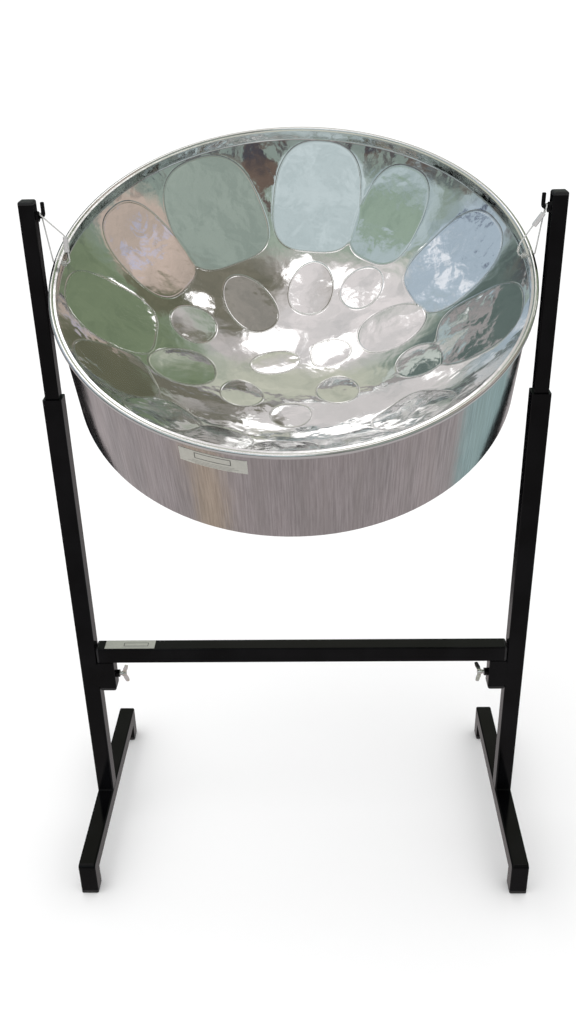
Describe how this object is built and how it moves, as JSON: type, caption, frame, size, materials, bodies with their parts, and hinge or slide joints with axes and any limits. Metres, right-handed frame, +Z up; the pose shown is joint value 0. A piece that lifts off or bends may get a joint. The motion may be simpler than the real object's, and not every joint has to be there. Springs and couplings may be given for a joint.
{
  "type": "steelpan",
  "caption": "Chrome tenor steelpan hung by wire loops between the telescoping posts of a black square-tube stand with a lift-out crossbar.",
  "frame": {"origin": "on the floor, under the centre of the whole object's box, in the posts' middle plane", "axes": "+X to the player's right, +Y away from the player, +Z up"},
  "size_m": [0.6674, 0.5904, 1.0363],
  "materials": {
    "bowl_chrome": "polished chrome plate over hammered steel",
    "skirt_chrome": "chrome plate with fine upright streaks",
    "rim_chrome": "polished chrome",
    "black_paint": "gloss black",
    "black_plastic": "satin moulded",
    "zinc": "bright zinc plate",
    "wire_steel": "stranded wire",
    "ferrule_aluminium": "pressed",
    "clear_vinyl": "clear soft vinyl",
    "label_film": "satin silver film"
  },
  "bodies": {
    "stand": {"left_foot_bar": "black_paint", "left_foot_caps": "black_plastic", "left_lower_post": "black_paint", "left_height_nut": "black_paint", "left_socket": "black_paint", "left_socket_plug": "black_plastic", "left_socket_nut": "black_paint", "right_foot_bar": "black_paint", "right_foot_caps": "black_plastic", "right_lower_post": "black_paint", "right_height_nut": "black_paint", "right_socket": "black_paint", "right_socket_plug": "black_plastic", "right_socket_nut": "black_paint"},
    "crossbar": {"crossbar": "black_paint", "crossbar_end_plugs": "black_plastic", "left_peg": "black_paint", "right_peg": "black_paint", "crossbar_label": "label_film"},
    "left_slide": {"left_upper_post": "black_paint", "left_post_cap": "black_plastic", "left_hook": "black_paint", "left_hook_nut": "black_paint"},
    "right_slide": {"right_upper_post": "black_paint", "right_post_cap": "black_plastic", "right_hook": "black_paint", "right_hook_nut": "black_paint"},
    "left_height_screw": {"left_height_screw": "zinc"},
    "right_height_screw": {"right_height_screw": "zinc"},
    "left_crossbar_screw": {"left_crossbar_screw": "zinc"},
    "right_crossbar_screw": {"right_crossbar_screw": "zinc"},
    "left_wire": {"left_wire_loop": "wire_steel", "left_ferrule": "ferrule_aluminium"},
    "right_wire": {"right_wire_loop": "wire_steel", "right_ferrule": "ferrule_aluminium", "right_wire_sleeve": "clear_vinyl"},
    "pan": {"playing_bowl": "bowl_chrome", "skirt": "skirt_chrome", "rim_chime": "rim_chrome", "left_hole_bush": "clear_vinyl", "right_hole_bush": "clear_vinyl", "skirt_label": "label_film"}
  },
  "joints": [
    {"name": "left_height", "type": "slide", "parent": "stand", "child": "left_slide", "axis": [0, 0, 1], "range_m": [-0.15, 0.12]},
    {"name": "right_height", "type": "slide", "parent": "stand", "child": "right_slide", "axis": [0, 0, 1], "range_m": [-0.15, 0.12]},
    {"name": "crossbar_lift", "type": "slide", "parent": "stand", "child": "crossbar", "axis": [0, 0, 1], "range_m": [0, 0.045]},
    {"name": "left_height_screw_turn", "type": "hinge", "parent": "stand", "child": "left_height_screw", "pos_m": [-0.321, 0.0001, 0.702], "axis": [0, 1, 0], "continuous": true},
    {"name": "right_height_screw_turn", "type": "hinge", "parent": "stand", "child": "right_height_screw", "pos_m": [0.321, 0.0001, 0.702], "axis": [0, 1, 0], "continuous": true},
    {"name": "left_crossbar_screw_turn", "type": "hinge", "parent": "stand", "child": "left_crossbar_screw", "pos_m": [-0.2829, 0.0001, 0.2808], "axis": [1, 0, 0], "continuous": true},
    {"name": "right_crossbar_screw_turn", "type": "hinge", "parent": "stand", "child": "right_crossbar_screw", "pos_m": [0.2829, 0.0001, 0.2808], "axis": [1, 0, 0], "continuous": true},
    {"name": "left_wire_swing", "type": "hinge", "parent": "left_slide", "child": "left_wire", "pos_m": [-0.3065, 0.0001, 0.967], "axis": [1, 0, 0], "range_deg": [-12, 12]},
    {"name": "right_wire_swing", "type": "hinge", "parent": "right_slide", "child": "right_wire", "pos_m": [0.3065, 0.0001, 0.967], "axis": [1, 0, 0], "range_deg": [-12, 12]},
    {"name": "pan_tilt", "type": "hinge", "parent": "left_wire", "child": "pan", "pos_m": [0, 0.0001, 0.9092], "axis": [1, 0, 0], "range_deg": [-26, 20]}
  ],
  "couplings": [
    {"joint": "right_height", "follows": "left_height", "ratio": 1},
    {"joint": "right_wire_swing", "follows": "left_wire_swing", "ratio": 1}
  ]
}
